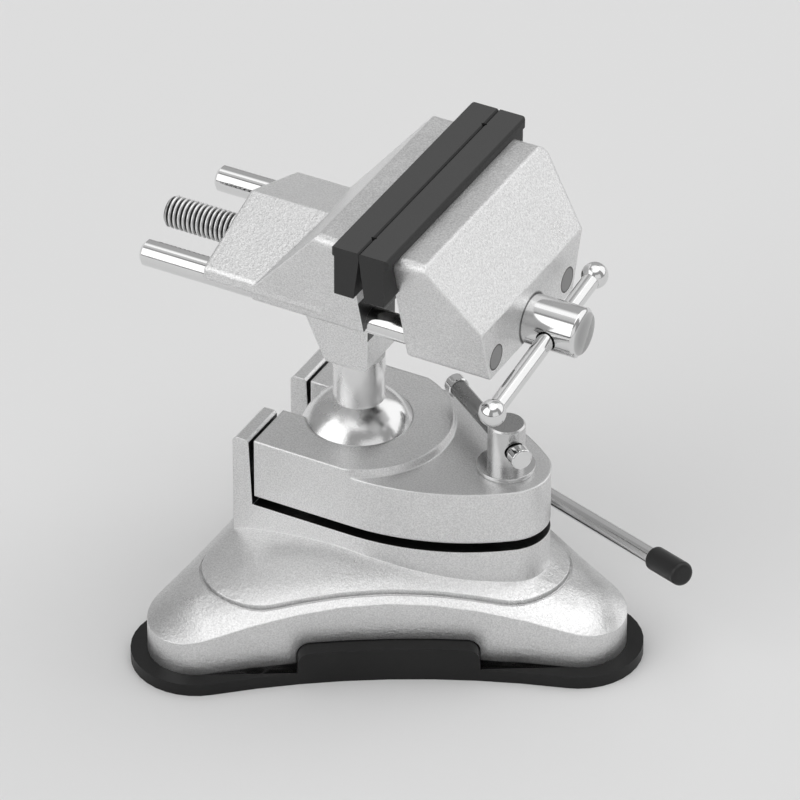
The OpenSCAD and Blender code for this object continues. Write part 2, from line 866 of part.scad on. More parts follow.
module movable_jaw() {
    color(cast)
        difference() {
            intersection() {
                translate([movable_seat, 0, 0])
                    along_y(far)
                        jaw_side(movable_t, movable_angle, movable_low_z);
                along_x(-far, far)
                    jaw_ends(movable_low_z);
            }
            rod_bores(rod_r);
            translate([0, 0, screw_z])
                bar_x_dir(-far/2, far/2, screw_r + running);
        }
}

// Soft pad with a lip over the jaw: u runs from the grip face to the seat
module jaw_pad() {
    r = 1;
    end = grip_w/2;
    back = jaw_pad_t + pad_lip;
    difference() {
        intersection() {
            along_y(grip_w + 2)
                polygon(concat([[face_lean, pad_low_z], [jaw_pad_t, pad_low_z], [jaw_pad_t, jaw_z], [back, jaw_z]],
                    arc([back - r, pad_top_z - r], r, 0, 90),
                    [[0.4, pad_top_z], [0, pad_top_z - 0.4], [0, pad_top_z - 2]]));
            translate([0, 0, pad_low_z - 1])
                linear_extrude(jaw_pad_h + 2)
                    polygon(concat([[-1, end], [-1, -end]], arc([back - r, r - end], r, -90, 0),
                        arc([back - r, end - r], r, 0, 90)));
        }
        for (side = [-1, 1])
            translate([0, side*(end - notch_in), pad_low_z - 1])
                linear_extrude(jaw_pad_h + 2)
                    polygon([[-1, -notch/2 - 1], [notch/2, 0], [-1, notch/2 + 1]]);
    }
}

module fixed_jaw_pad() {
    color(soft_dark)
        translate([contact_x, 0, 0])
            mirror([1, 0, 0])
                jaw_pad();
}

module movable_jaw_pad() {
    color(soft_dark)
        translate([contact_x + closed_gap, 0, 0])
            jaw_pad();
}

// ---- rods, screw and tommy bar ----

module guide_rods() {
    color(bright)
        for (side = [-1, 1])
            translate([-rod_rear, side*rod_y, screw_z])
                rotate([0, 90, 0])
                    rotate_extrude()
                        polygon([[0, 0], [rod_r - 0.8, 0], [rod_r, 0.8],
                            [rod_r, rod_rear + rod_front], [0, rod_rear + rod_front]]);
}

// The tommy bar's frame: X along the bar towards the far ball
module at_screw_bar() {
    translate([cross_x, 0, screw_z])
        rotate([bar_tilt, 0, 0])
            rotate([0, 0, 90])
                children();
}

module lead_screw() {
    color(bright)
        difference() {
            translate([0, 0, screw_z])
                rotate([0, 90, 0])
                    rotate_extrude()
                        polygon([[0, -screw_rear], [screw_r - 0.8, -screw_rear], [screw_r, -screw_rear + 0.8],
                            [screw_r, clip_x - 1.3], [screw_r - 0.6, clip_x - 1.3],
                            [screw_r - 0.6, clip_x - 0.2], [screw_r, clip_x - 0.2],
                            [screw_r, barrel_x], [barrel_r, barrel_x], [barrel_r, barrel_x + barrel_l - 1],
                            [barrel_r - 1, barrel_x + barrel_l], [0, barrel_x + barrel_l]]);
            at_screw_bar()
                bar_x_dir(-barrel_r - 1, barrel_r + 1, bar_r + loose);
        }
}

module screw_clip() {
    color(steel)
        translate([clip_x - 1.25, 0, screw_z])
            rotate([0, 90, 0])
                difference() {
                    cylinder(h = 1, r = screw_r + 2);
                    translate([0, 0, -1])
                        cylinder(h = 3, r = screw_r - 0.58);
                    translate([0, -2, -1])
                        cube([screw_r + 3, 4, 3]);
                }
}

module screw_bar() {
    color(bright)
        at_screw_bar()
            bar_x_dir(-bar_near, bar_far, bar_r);
}

// Half of a ball's section, with the blind hole that takes the bar's end
module drilled_ball_section() {
    difference() {
        circle(bar_ball_r);
        translate([-bar_ball_r - 1, -bar_ball_r - 1])
            square([bar_ball_r + 1, 2*bar_ball_r + 2]);
        translate([-1, -bar_ball_r - 1])
            square([bar_r + press + 1, bar_ball_r + 1 + press]);
    }
}

module screw_bar_balls() {
    color(bright)
        at_screw_bar()
            for (end = [[-bar_near, -90], [bar_far, 90]])
                translate([end[0], 0, 0])
                    rotate([0, end[1], 0])
                        rotate_extrude()
                            drilled_ball_section();
}

base_casting();
suction_pad();
pad_core_plate();
pull_stud();
cam_shaft();
cam_shaft_clip();
suction_lever();
lever_grip();
clamp_plate();
clamp_washer();
clamp_screw();
clamp_bar();
clamp_bar_ends();
ball_stud();
fixed_jaw();
stud_dowel();
fixed_jaw_pad();
movable_jaw();
movable_jaw_pad();
guide_rods();
lead_screw();
screw_clip();
screw_bar();
screw_bar_balls();
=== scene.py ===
import math

import bmesh
import bpy
from mathutils import Matrix, Vector


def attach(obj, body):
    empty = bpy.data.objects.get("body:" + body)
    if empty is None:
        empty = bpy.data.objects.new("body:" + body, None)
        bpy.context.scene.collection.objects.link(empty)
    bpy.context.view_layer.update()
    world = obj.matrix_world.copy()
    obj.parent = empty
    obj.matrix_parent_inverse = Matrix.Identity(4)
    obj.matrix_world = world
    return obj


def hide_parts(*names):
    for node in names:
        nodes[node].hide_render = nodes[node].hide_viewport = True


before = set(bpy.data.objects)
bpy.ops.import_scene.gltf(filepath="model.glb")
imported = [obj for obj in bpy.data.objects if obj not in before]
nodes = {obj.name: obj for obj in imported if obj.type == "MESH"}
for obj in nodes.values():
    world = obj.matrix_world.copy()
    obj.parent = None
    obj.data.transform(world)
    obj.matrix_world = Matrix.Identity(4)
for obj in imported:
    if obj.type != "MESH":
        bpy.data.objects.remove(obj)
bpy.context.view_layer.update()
scene = bpy.context.scene
mm = 0.001
headAxis = 91.5  # height of the lead screw and the guide rods, in mm
seamGap = 0.00001  # corners of a solid that are closer than this are one corner

print("stage: frame loaded")


def grey(level):
    return (level, level, level, 1.0)


def wire(tree, source, target):
    tree.links.new(source, target)


def feed(tree, target, value):
    # a socket takes what another node puts out, or a plain value
    if isinstance(value, bpy.types.NodeSocket):
        wire(tree, value, target)
    else:
        target.default_value = value


def addNode(tree, kind, place=(0, 0), **settings):
    made = tree.nodes.new(kind)
    made.location = place
    for key, value in settings.items():
        if key in made.bl_rna.properties:
            setattr(made, key, value)
        else:
            made.inputs[key].default_value = value
    return made


def calc(tree, operation, *values, place=(0, 0)):
    made = addNode(tree, "ShaderNodeMath", place, operation=operation)
    for target, value in zip(made.inputs, values):
        feed(tree, target, value)
    return made.outputs[0]


def calcVector(tree, operation, *values, place=(0, 0)):
    made = addNode(tree, "ShaderNodeVectorMath", place, operation=operation)
    for target, value in zip(made.inputs, values):
        feed(tree, target, value)
    return made.outputs["Value" if operation in ("DOT_PRODUCT", "LENGTH") else "Vector"]


def remap(tree, source, fromLow, fromHigh, toLow=0.0, toHigh=1.0, place=(0, 0), **settings):
    made = addNode(tree, "ShaderNodeMapRange", place, **settings)
    names = ("Value", "From Min", "From Max", "To Min", "To Max")
    for name, value in zip(names, (source, fromLow, fromHigh, toLow, toHigh)):
        feed(tree, made.inputs[name], value)
    return made.outputs["Result"]


def noise(tree, where, scale, detail, roughness, place=(0, 0)):
    made = addNode(tree, "ShaderNodeTexNoise", place, Detail=detail, Roughness=roughness)
    wire(tree, where, made.inputs["Vector"])
    wire(tree, scale, made.inputs["Scale"])
    return made.outputs["Fac"]


def newGroup(name, inputs, outputs):
    # inputs are named with their usual values, and outputs with their kinds
    group = bpy.data.node_groups.new(name, "ShaderNodeTree")
    for label, value in inputs.items():
        kind = "NodeSocketFloat" if isinstance(value, float) else "NodeSocketVector"
        socket = group.interface.new_socket(name=label, in_out="INPUT", socket_type=kind)
        socket.default_value = value
    for label, kind in outputs.items():
        group.interface.new_socket(name=label, in_out="OUTPUT", socket_type=kind)
    return group, group.nodes.new("NodeGroupInput"), group.nodes.new("NodeGroupOutput")


def useGroup(tree, group, place=(0, 0), **values):
    made = tree.nodes.new("ShaderNodeGroup")
    made.node_tree = group
    made.location = place
    for key, value in values.items():
        made.inputs[key].default_value = value
    return made


def newMaterial(name):
    material = bpy.data.materials.new(name)
    material.use_nodes = True
    tree = material.node_tree
    tree.nodes.clear()
    output = addNode(tree, "ShaderNodeOutputMaterial", (600, 0))
    shader = addNode(tree, "ShaderNodeBsdfPrincipled", (300, 0))
    wire(tree, shader.outputs["BSDF"], output.inputs["Surface"])
    return material, tree, shader


# noise scales, the fine grain's share in the height, and the noise levels where sparkle starts and is full
castGrain = {
    "fineScale": 2600.0, "coarseScale": 1150.0, "mottleScale": 70.0,
    "fineShare": 0.55, "sparkleFrom": 0.35, "sparkleFull": 0.68,
}


def makeCastGrain(values):
    # sand texture and sparkle of a painted casting
    group, gIn, gOut = newGroup(
        "castGrain",
        {"Fine": values["fineScale"], "Coarse": values["coarseScale"], "Mottle": values["mottleScale"]},
        {"Height": "NodeSocketFloat", "Sparkle": "NodeSocketFloat", "Cloud": "NodeSocketFloat"},
    )
    where = addNode(group, "ShaderNodeTexCoord", (-900, 0)).outputs["Object"]
    fine = noise(group, where, gIn.outputs["Fine"], detail=2.0, roughness=0.7, place=(-600, 200))
    coarse = noise(group, where, gIn.outputs["Coarse"], detail=3.0, roughness=0.6, place=(-600, 0))
    cloud = noise(group, where, gIn.outputs["Mottle"], detail=3.0, roughness=0.55, place=(-600, -200))
    height = calc(group, "MULTIPLY_ADD", fine, values["fineShare"], coarse, place=(-300, 100))
    sparkle = remap(group, fine, values["sparkleFrom"], values["sparkleFull"], place=(-100, -50))
    wire(group, height, gOut.inputs["Height"])
    wire(group, sparkle, gOut.inputs["Sparkle"])
    wire(group, cloud, gOut.inputs["Cloud"])
    return group


# noise scales, and how much closer the scratches lie along each axis
softWear = {"smudgeScale": 90.0, "scratchScale": 1800.0, "stretch": (1.0, 12.0, 12.0)}


def makeSoftWear(values):
    # faint smudges and fine scratches on bright metal
    group, gIn, gOut = newGroup(
        "softWear",
        {"Smudge": values["smudgeScale"], "Scratch": values["scratchScale"], "Stretch": values["stretch"]},
        {"Smudges": "NodeSocketFloat", "Scratches": "NodeSocketFloat"},
    )
    where = addNode(group, "ShaderNodeTexCoord", (-900, 0)).outputs["Object"]
    smudges = noise(group, where, gIn.outputs["Smudge"], detail=4.0, roughness=0.6, place=(-500, 150))
    drawn = calcVector(group, "MULTIPLY", where, gIn.outputs["Stretch"], place=(-700, -150))
    scratches = noise(group, drawn, gIn.outputs["Scratch"], detail=2.0, roughness=0.5, place=(-500, -150))
    wire(group, smudges, gOut.inputs["Smudges"])
    wire(group, scratches, gOut.inputs["Scratches"])
    return group


faceMask = {"from": 0.8, "full": 0.97}  # cosine of the angle between a face's direction and Facing


def makeFaceMask(values):
    # 1 on the faces that look along Facing between the corners Low and High
    group, gIn, gOut = newGroup(
        "faceMask",
        {"Facing": (0.0, 0.0, 1.0), "Low": (-1.0, -1.0, -1.0), "High": (1.0, 1.0, 1.0)},
        {"Mask": "NodeSocketFloat"},
    )
    coords = addNode(group, "ShaderNodeTexCoord", (-900, 0))
    where = coords.outputs["Object"]
    above = calcVector(group, "SUBTRACT", where, gIn.outputs["Low"], place=(-600, 0))
    below = calcVector(group, "SUBTRACT", gIn.outputs["High"], where, place=(-600, -200))
    least = calcVector(group, "MINIMUM", above, below, place=(-400, -100))
    parts = addNode(group, "ShaderNodeSeparateXYZ", (-250, -100))
    wire(group, least, parts.inputs[0])
    flat = calc(group, "MINIMUM", parts.outputs["X"], parts.outputs["Y"], place=(-100, -100))
    depth = calc(group, "MINIMUM", flat, parts.outputs["Z"], place=(50, -100))
    inside = calc(group, "GREATER_THAN", depth, 0.0, place=(200, -100))
    facing = calcVector(
        group, "DOT_PRODUCT", coords.outputs["Normal"], gIn.outputs["Facing"], place=(-600, 200))
    square = remap(group, facing, values["from"], values["full"], place=(-400, 200))
    wire(group, calc(group, "MULTIPLY", inside, square, place=(350, 0)), gOut.inputs["Mask"])
    return group


def makeRadius():
    # 0 to 1 between two distances from an axis along X, which has a twin across Y
    group, gIn, gOut = newGroup(
        "radiusFromAxis",
        {"Centre": (0.0, 0.0, 0.0), "Low": 0.0, "High": 0.001},
        {"Ramp": "NodeSocketFloat"},
    )
    where = addNode(group, "ShaderNodeTexCoord", (-900, 0)).outputs["Object"]
    folded = calcVector(group, "ABSOLUTE", where, place=(-700, 0))
    away = calcVector(group, "SUBTRACT", folded, gIn.outputs["Centre"], place=(-500, 0))
    across = calcVector(group, "MULTIPLY", away, (0.0, 1.0, 1.0), place=(-300, 0))
    distance = calcVector(group, "LENGTH", across, place=(-100, 0))
    ramp = remap(group, distance, gIn.outputs["Low"], gIn.outputs["High"], place=(100, 0))
    wire(group, ramp, gOut.inputs["Ramp"])
    return group


# rays that feel for each edge, and 1 less the cosine of the normals' turn where the painted highlight line
# starts
edgeRoundAndHighlight = {"samples": 6, "from": 0.01}


def makeEdgeRoundAndHighlight(values):
    # normals rounded across each edge, and a mask of the painted highlight line along it
    group, gIn, gOut = newGroup(
        "edgeRoundAndHighlight",
        {"Radius": 0.0005, "Reach": 0.2},
        {"Normal": "NodeSocketVector", "Highlight": "NodeSocketFloat"},
    )
    bevel = addNode(group, "ShaderNodeBevel", (-600, 0), samples=values["samples"])
    wire(group, gIn.outputs["Radius"], bevel.inputs["Radius"])
    flat = addNode(group, "ShaderNodeNewGeometry", (-600, -200))
    along = calcVector(
        group, "DOT_PRODUCT", bevel.outputs["Normal"], flat.outputs["Normal"], place=(-400, -100))
    turned = calc(group, "SUBTRACT", 1.0, along, place=(-200, -100))
    highlight = remap(group, turned, values["from"], gIn.outputs["Reach"], place=(0, -100))
    wire(group, bevel.outputs["Normal"], gOut.inputs["Normal"])
    wire(group, highlight, gOut.inputs["Highlight"])
    return group


castGrainGroup = makeCastGrain(castGrain)
edgeRoundAndHighlightGroup = makeEdgeRoundAndHighlight(edgeRoundAndHighlight)
softWearGroup = makeSoftWear(softWear)
faceMaskGroup = makeFaceMask(faceMask)
radiusGroup = makeRadius()
print("stage: shared effects made")

noiseRange = {"low": 0.3, "high": 0.7}  # the noise levels that a material's own range is spread over


def mapped(tree, source, low, high, place=(0, 0)):
    return remap(tree, source, noiseRange["low"], noiseRange["high"], low, high, place)


def mixed(tree, factor, low, high, place=(0, 0)):
    made = addNode(tree, "ShaderNodeMix", place, data_type="RGBA")
    wire(tree, factor, made.inputs["Factor"])
    for socket, value in (("A", low), ("B", high)):
        feed(tree, made.inputs[socket], grey(value) if isinstance(value, float) else value)
    return made.outputs["Result"]


def facesAlong(tree, faces, place=(0, 0)):
    # faces are given by where they look and by a low and a high corner in mm
    facing, low, high = faces
    low, high = [[c*mm for c in corner] for corner in (low, high)]
    return useGroup(tree, faceMaskGroup, place, Facing=facing, Low=low, High=high).outputs["Mask"]


def beyondRing(tree, ring, place=(0, 0)):
    # 0 inside the ring's low radius and 1 beyond its high one, both in mm
    centre = (0, ring["axisY"]*mm, headAxis*mm)
    made = useGroup(tree, radiusGroup, place, Centre=centre, Low=ring["low"]*mm, High=ring["high"]*mm)
    return made.outputs["Ramp"]


def finishSurface(tree, shader, color, cloud, height, values, normal=None):
    # colour, cloudy roughness and bump, which every material of the part has
    wire(tree, color, shader.inputs["Base Color"])
    wire(tree, mapped(tree, cloud, values["roughLow"], values["roughHigh"]), shader.inputs["Roughness"])
    depth, strength = values["bumpDepth"], values["bumpStrength"]
    bump = addNode(tree, "ShaderNodeBump", (0, -300), Distance=depth, Strength=strength)
    wire(tree, height, bump.inputs["Height"])
    if normal:
        wire(tree, normal, bump.inputs["Normal"])
    wire(tree, bump.outputs["Normal"], shader.inputs["Normal"])


# the castings' paint, whose darkest tone is painted shade for faces in the gaps between parts
castPaint = {
    "dark": 0.62, "light": 0.94, "sparkleShare": 0.7, "cloudShare": 0.3, "metal": 0.92,
    "roughLow": 0.27, "roughHigh": 0.36, "bumpDepth": 0.0002, "bumpStrength": 0.55,
    "edgeRadius": 0.0007, "edgeHighlightReach": 0.18, "edgeHighlightTone": 1.0, "gapShade": 0.07,
}
jawPaint = dict(castPaint, metal=0.76, dark=0.58, light=0.98)
basePaint = dict(castPaint, edgeRadius=0.0004, edgeHighlightTone=0.86)

# faces in the narrow gaps between the castings, where painted shade darkens the colour
shadedGapFaces = {
    "pedestalTop": ((0, 0, 1), (-17.2, -22, 29.9), (51, 22, 30.5)),
    "postFronts": ((1, 0, 0), (-19, -22, 30.1), (-16.4, 22, 48)),
    "plateUnder": ((0, 0, -1), (-20, -22, 32.6), (51, 22, 33.2)),
    "plateRear": ((-1, 0, 0), (-20.2, -22, 33), (-16.6, 22, 47)),
    "fixedThroat": ((1, 0, 0), (5, -31, 76), (16.6, 31, 100)),
    "movableThroat": ((-1, 0, 0), (24, -31, 85.5), (25.8, 31, 97)),
}
# painted shadow: a dark line round the lead screw's barrel on the movable jaw, where the barrel meets it
barrelShadowRing = {"axisY": 0, "low": 6.3, "high": 6.8}


def makeCastPaint(name, values, shadedGaps, ring=None):
    material, tree, shader = newMaterial(name)
    shader.inputs["Metallic"].default_value = values["metal"]
    grain = useGroup(tree, castGrainGroup, (-700, 0))
    edge = useGroup(tree, edgeRoundAndHighlightGroup, (-700, -300), Radius=values["edgeRadius"], Reach=values["edgeHighlightReach"])
    cloud, sparkle = grain.outputs["Cloud"], grain.outputs["Sparkle"]
    tone = calc(tree, "MULTIPLY", cloud, values["cloudShare"], place=(-450, 0))
    tone = calc(tree, "MULTIPLY_ADD", sparkle, values["sparkleShare"], tone, place=(-450, 200))
    color = mixed(tree, tone, values["dark"], values["light"], (-200, 200))
    # a painted highlight along the edges, in the edge tone
    color = mixed(tree, edge.outputs["Highlight"], color, values["edgeHighlightTone"], (-100, 200))
    # painted shade on the faces in the gaps between the castings
    for faces in shadedGaps:
        mask = facesAlong(tree, shadedGapFaces[faces], (-450, 400))
        color = mixed(tree, mask, color, values["gapShade"], (0, 300))
    # painted shadow in a ring round the lead screw's barrel
    if ring:
        color = mixed(tree, beyondRing(tree, ring, (-450, 600)), values["gapShade"], color, (100, 300))
    finishSurface(tree, shader, color, cloud, grain.outputs["Height"], values, edge.outputs["Normal"])
    return material


fixedSkin = makeCastPaint("fixedSkin", jawPaint, ["fixedThroat"])
movableSkin = makeCastPaint("movableSkin", jawPaint, ["movableThroat"], barrelShadowRing)
baseSkin = makeCastPaint("baseSkin", basePaint, ["pedestalTop", "postFronts"])
plateSkin = makeCastPaint("plateSkin", castPaint, ["plateUnder", "plateRear"])

brightSteel = {"tint": 0.78, "roughLow": 0.06, "roughHigh": 0.15, "bumpDepth": 0.00001, "bumpStrength": 0.15}
ballSteel = {"tint": 0.82, "roughLow": 0.1, "roughHigh": 0.34, "bumpDepth": 0.00004, "bumpStrength": 0.35}
satinSteel = {"tint": 0.66, "roughLow": 0.2, "roughHigh": 0.34, "bumpDepth": 0.00002, "bumpStrength": 0.3}
darkSteel = {"tint": 0.3, "roughLow": 0.2, "roughHigh": 0.35, "bumpDepth": 0.00002, "bumpStrength": 0.3}
plainSteel = {"tint": 0.46, "roughLow": 0.22, "roughHigh": 0.4, "bumpDepth": 0.00002, "bumpStrength": 0.3}
# how far smudges take a steel's tint down and up, and the tone of turned end faces
steelTone = {"dim": 0.96, "pale": 1.03, "turnedEnd": 0.42}
evenStretch = (1.0, 1.0, 1.0)
turnedEnds = {
    "clampScrewTop": ((0, 0, 1), (34, -6, 59), (45, 6, 60)),
    "barrelFront": ((1, 0, 0), (58, -7, 84), (61, 7, 99)),
}


def makeMetal(name, values, end=None, stretch=softWear["stretch"]):
    material, tree, shader = newMaterial(name)
    shader.inputs["Metallic"].default_value = 1.0
    wear = useGroup(tree, softWearGroup, (-600, 0), Stretch=stretch)
    smudges, scratches = wear.outputs["Smudges"], wear.outputs["Scratches"]
    dim, pale = values["tint"]*steelTone["dim"], values["tint"]*steelTone["pale"]
    color = mixed(tree, mapped(tree, smudges, 0.0, 1.0), dim, pale)
    if end:
        mask = facesAlong(tree, turnedEnds[end], (-300, 300))
        color = mixed(tree, mask, color, steelTone["turnedEnd"], (0, 300))
    finishSurface(tree, shader, color, smudges, scratches, values)
    return material


brightMetal = makeMetal("brightMetal", brightSteel)
ballMetal = makeMetal("ballMetal", ballSteel, stretch=evenStretch)
satinMetal = makeMetal("satinMetal", satinSteel, "clampScrewTop")
darkMetal = makeMetal("darkMetal", darkSteel)
barrelMetal = makeMetal("barrelMetal", brightSteel, "barrelFront")
turnedMetal = makeMetal("turnedMetal", plainSteel)

# the rods' front ends are dull, with painted shadow of a slight recess as a dark line from the low to the
# high radius
rodEnds = {
    "faces": ((1, 0, 0), (45, -23, 87), (47, 23, 96)),
    "axisY": 18.2, "low": 2.7, "high": 3.1, "tone": 0.24, "recessShadow": 0.015,
}


def makeRodMetal(name, values, ends):
    material, tree, shader = newMaterial(name)
    shader.inputs["Metallic"].default_value = 1.0
    wear = useGroup(tree, softWearGroup, (-600, 0))
    # painted shadow: a dark ring at the edge of each rod's end
    disc = mixed(tree, beyondRing(tree, ends, (-600, 300)), ends["tone"], ends["recessShadow"], (-300, 300))
    color = mixed(tree, facesAlong(tree, ends["faces"], (-300, 500)), values["tint"], disc, (0, 300))
    finishSurface(tree, shader, color, wear.outputs["Smudges"], wear.outputs["Scratches"], values)
    return material


rodMetal = makeRodMetal("rodMetal", brightSteel, rodEnds)

# tones at the root and the crest of the thread, which the low and the high radius tell apart; the near-black
# root is painted shade in the thread's groove
threadSteel = {
    "root": 0.03, "crest": 0.9, "axisY": 0, "low": 3.45, "high": 3.9,
    "roughLow": 0.22, "roughHigh": 0.352, "bumpDepth": 0.00002, "bumpStrength": 0.3,
}


def makeThreadSteel(name, values):
    material, tree, shader = newMaterial(name)
    shader.inputs["Metallic"].default_value = 1.0
    wear = useGroup(tree, softWearGroup, (-600, 0))
    # painted shade darkens the thread's root
    color = mixed(tree, beyondRing(tree, values, (-600, 300)), values["root"], values["crest"], (-300, 300))
    finishSurface(tree, shader, color, wear.outputs["Smudges"], wear.outputs["Scratches"], values)
    return material


threadMetal = makeThreadSteel("threadMetal", threadSteel)

rubberGrain = {"Fine": 5200.0, "Coarse": 1900.0, "Mottle": 45.0}
footRubber = {
    "tint": 0.006, "pale": 0.014, "shine": 0.3, "roughLow": 0.38, "roughHigh": 0.55,
    "bumpDepth": 0.00006, "bumpStrength": 0.4,
}
# the palest tone is painted light for the pads' top faces
padRubber = {
    "tint": 0.026, "pale": 0.036, "shine": 0.3, "roughLow": 0.5, "roughHigh": 0.65,
    "bumpDepth": 0.00008, "bumpStrength": 0.4, "litTopTone": 0.068,
}
capPlastic = {
    "tint": 0.008, "pale": 0.013, "shine": 0.4, "roughLow": 0.28, "roughHigh": 0.4,
    "bumpDepth": 0.00003, "bumpStrength": 0.3,
}
# painted light: the pads' top faces are painted paler, as light from above makes them look
litPadTops = ((0, 0, 1), (0, -50, 112), (40, 50, 130))


def makeRubber(name, values, litTops=None):
    material, tree, shader = newMaterial(name)
    shader.inputs["Specular IOR Level"].default_value = values["shine"]
    grain = useGroup(tree, castGrainGroup, (-700, 0), **rubberGrain)
    cloud = grain.outputs["Cloud"]
    blend = mapped(tree, cloud, 0.0, 1.0, (-400, 200))
    color = mixed(tree, blend, values["tint"], values["pale"], (-200, 200))
    # top faces painted paler, as painted light from above
    if litTops:
        color = mixed(tree, facesAlong(tree, litTops, (-400, 400)), color, values["litTopTone"], (0, 300))
    finishSurface(tree, shader, color, cloud, grain.outputs["Height"], values)
    return material


footSkin = makeRubber("footSkin", footRubber)
padSkin = makeRubber("padSkin", padRubber, litPadTops)
capSkin = makeRubber("capSkin", capPlastic)

# the solids that aren't named here are bright metal
finishes = {
    "base_casting": baseSkin, "clamp_plate": plateSkin, "fixed_jaw": fixedSkin, "movable_jaw": movableSkin,
    "suction_pad": footSkin, "fixed_jaw_pad": padSkin, "movable_jaw_pad": padSkin, "lever_grip": capSkin,
    "pad_core_plate": turnedMetal, "pull_stud": turnedMetal, "cam_shaft": turnedMetal,
    "cam_shaft_clip": turnedMetal, "stud_dowel": turnedMetal, "screw_clip": turnedMetal,
    "lead_screw": turnedMetal, "clamp_screw": satinMetal, "clamp_washer": satinMetal,
    "clamp_bar": darkMetal, "ball_stud": ballMetal, "guide_rods": rodMetal,
}

for name, piece in nodes.items():
    piece.data.materials.clear()
    piece.data.materials.append(finishes.get(name, brightMetal))
print("stage: materials on the solids")

# bevel width in mm; the castings have none, because their paint rounds its own edges
edgeWidths = {
    "base_casting": 0, "clamp_plate": 0, "fixed_jaw": 0, "movable_jaw": 0,
    "suction_pad": 0.4, "fixed_jaw_pad": 0.35, "movable_jaw_pad": 0.35,
    "lever_grip": 0.3, "clamp_washer": 0.2,
}
# segments across a bevel, and the turns in degrees past which an edge is bevelled or stays sharp in shading
edgeRules = {"segments": 3, "bevelAngle": 28, "sharpAngle": 34}


def soften(piece, width, rules):
    weld = piece.modifiers.new("joinSeams", "WELD")
    weld.merge_threshold = seamGap
    if not width:
        return
    bevel = piece.modifiers.new("roundEdges", "BEVEL")
    bevel.width = width*mm
    bevel.segments = rules["segments"]
    bevel.limit_method = "ANGLE"
    bevel.angle_limit = math.radians(rules["bevelAngle"])
    bevel.harden_normals = False
    bevel.use_clamp_overlap = True
    bevel.miter_outer = "MITER_ARC"


def makeCalmShading(degrees):
    # smooth shading across shallow edges, so the lofted skin shows no facets
    group = bpy.data.node_groups.new("calmShading", "GeometryNodeTree")
    for side in ("INPUT", "OUTPUT"):
        group.interface.new_socket(name="Geometry", in_out=side, socket_type="NodeSocketGeometry")
    gIn, gOut = group.nodes.new("NodeGroupInput"), group.nodes.new("NodeGroupOutput")
    angle = group.nodes.new("GeometryNodeInputMeshEdgeAngle")
    sharp = group.nodes.new("FunctionNodeCompare")
    sharp.data_type, sharp.operation = "FLOAT", "GREATER_THAN"
    sharp.inputs["B"].default_value = math.radians(degrees)
    wire(group, angle.outputs["Unsigned Angle"], sharp.inputs["A"])
    normals = group.nodes.new("GeometryNodeSetMeshNormal")
    normals.mode = "SHARPNESS"
    normals.inputs["Face Sharpness"].default_value = False
    wire(group, gIn.outputs["Geometry"], normals.inputs["Mesh"])
    wire(group, sharp.outputs["Result"], normals.inputs["Edge Sharpness"])
    wire(group, normals.outputs["Mesh"], gOut.inputs["Geometry"])
    return group


calmShading = makeCalmShading(edgeRules["sharpAngle"])

for name, width in edgeWidths.items():
    soften(nodes[name], width, edgeRules)
    calm = nodes[name].modifiers.new("calmShading", "NODES")
    calm.node_group = calmShading
    flat = nodes[name].modifiers.new("flatFaces", "WEIGHTED_NORMAL")
    flat.mode = "FACE_AREA"
    flat.keep_sharp = True
print("stage: edges softened")

# sizes in mm; rootFlat and flank are shares of half a pitch, the solid's head is cut off at cutAt, and the
# thread ends in a plain core that runs on by the tail, into the head
screwThread = {
    "rear": -51.1, "front": 22.9, "crest": 4.0, "root": 3.35, "pitch": 1.25, "chamfer": 0.8,
    "rootFlat": 0.12, "flank": 0.66, "around": 48, "perTurn": 10,
    "cutAt": 23.2, "tail": 0.5, "core": 3.3, "sharpAngle": 35,
}
screwMetals = [threadMetal, barrelMetal]
barrelSlot = screwMetals.index(barrelMetal)


def threadShape(phase, values):
    # height of a rounded thread form, from 0 at the root to 1 at the crest
    swing = abs(2*(phase % 1.0) - 1)
    return min(1.0, max(0.0, (swing - values["rootFlat"])/values["flank"]))


def addRing(mesh, x, radii):
    # corners round the screw's axis, one for each radius
    ring = []
    for k, radius in enumerate(radii):
        angle = k/len(radii)*2*math.pi
        place = (x, radius*math.cos(angle), headAxis + radius*math.sin(angle))
        ring.append(mesh.verts.new([c*mm for c in place]))
    return ring


def makeThread(values):
    mesh = bmesh.new()
    rear, front, root, crest = [values[key] for key in ("rear", "front", "root", "crest")]
    around = values["around"]
    rows = int((front - rear)/values["pitch"]*values["perTurn"]) + 1
    rings = []
    for i in range(rows + 1):
        x = rear + (front - rear)*i/rows
        limit = crest - max(0.0, values["chamfer"] - (x - rear))
        heights = [threadShape(x/values["pitch"] - k/around, values) for k in range(around)]
        rings.append(addRing(mesh, x, [min(root + (crest - root)*height, limit) for height in heights]))
    rings.append(addRing(mesh, front + values["tail"], [values["core"]]*around))
    for low, high in zip(rings, rings[1:]):
        for k in range(around):
            after = (k + 1) % around
            mesh.faces.new((low[k], low[after], high[after], high[k]))
    mesh.faces.new(rings[0])
    mesh.faces.new(list(reversed(rings[-1])))
    bmesh.ops.recalc_face_normals(mesh, faces=mesh.faces)
    return mesh


def cutHead(cutAt):
    # the barrel end of the solid lead screw, closed where it is cut off
    head = bmesh.new()
    head.from_mesh(nodes["lead_screw"].data)
    bmesh.ops.remove_doubles(head, verts=head.verts, dist=seamGap)
    everything = list(head.verts) + list(head.edges) + list(head.faces)
    cut = bmesh.ops.bisect_plane(
        head, geom=everything, plane_co=(cutAt*mm, 0, 0), plane_no=(1, 0, 0), clear_inner=True)
    edges = [e for e in cut["geom_cut"] if isinstance(e, bmesh.types.BMEdge)]
    bmesh.ops.holes_fill(head, edges=edges)
    data = bpy.data.meshes.new("screwHead")
    head.to_mesh(data)
    return data


